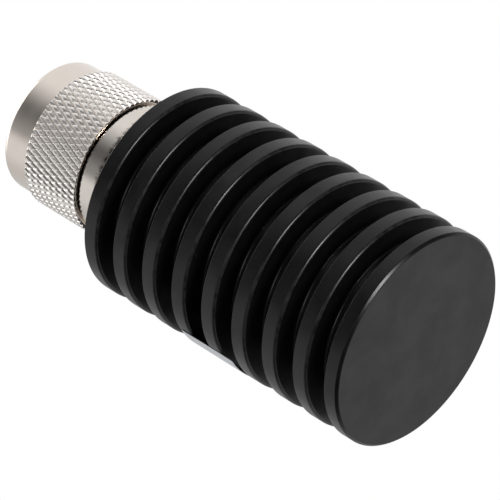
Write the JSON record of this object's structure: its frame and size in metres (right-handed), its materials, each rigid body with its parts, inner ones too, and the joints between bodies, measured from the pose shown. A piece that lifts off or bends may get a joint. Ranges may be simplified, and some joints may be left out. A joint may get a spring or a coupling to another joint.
{
  "type": "coaxial terminator",
  "caption": "Finned round heat sink with a knurled screw-on coaxial plug that ends a radio-frequency line in a matched load.",
  "frame": {"origin": "centre of the end disc's flat face, on which the part stands", "axes": "+Z along the common axis towards the plug's mouth; the foil label is on the -X side"},
  "size_m": [0.0301, 0.03, 0.0668],
  "materials": {
    "black_anodised": "satin black anodised, turned",
    "nickel_plate": "bright nickel plate on turned brass",
    "spring_bronze": "plain spring bronze",
    "silicone_rubber": "matt silicone",
    "white_ptfe": "turned, waxy",
    "gold_plate": "gold plate on turned brass",
    "bare_aluminium": "milled",
    "copper_flange": "plated copper",
    "white_ceramic": "matt ceramic",
    "silver_tab": "silver plate",
    "steel_screw": "plain stainless",
    "foil_label": "brushed silver foil, blank"
  },
  "bodies": {
    "load_body": {"heat_sink": "black_anodised", "connector_shell": "nickel_plate", "outer_contact": "nickel_plate", "face_gasket": "silicone_rubber", "front_insulator": "white_ptfe", "rear_insulator": "white_ptfe", "insulator_retainer": "nickel_plate", "centre_pin": "gold_plate", "carrier_block": "bare_aluminium", "resistor_flange": "copper_flange", "resistor_chip": "white_ceramic", "resistor_lid": "white_ceramic", "tab_lead": "silver_tab", "flange_screw_left": "steel_screw", "flange_screw_right": "steel_screw", "spring_washer_left": "steel_screw", "spring_washer_right": "steel_screw", "label": "foil_label"},
    "nut_ring": {"snap_ring": "spring_bronze"},
    "nut": {"coupling_nut": "nickel_plate"}
  },
  "joints": [
    {"name": "nut_float", "type": "slide", "parent": "load_body", "child": "nut_ring", "axis": [0, 0, 1], "range_m": [0, 0.00035]},
    {"name": "nut_spin", "type": "hinge", "parent": "nut_ring", "child": "nut", "pos_m": [0, 0, 0.0596], "axis": [0, 0, 1], "continuous": true}
  ]
}
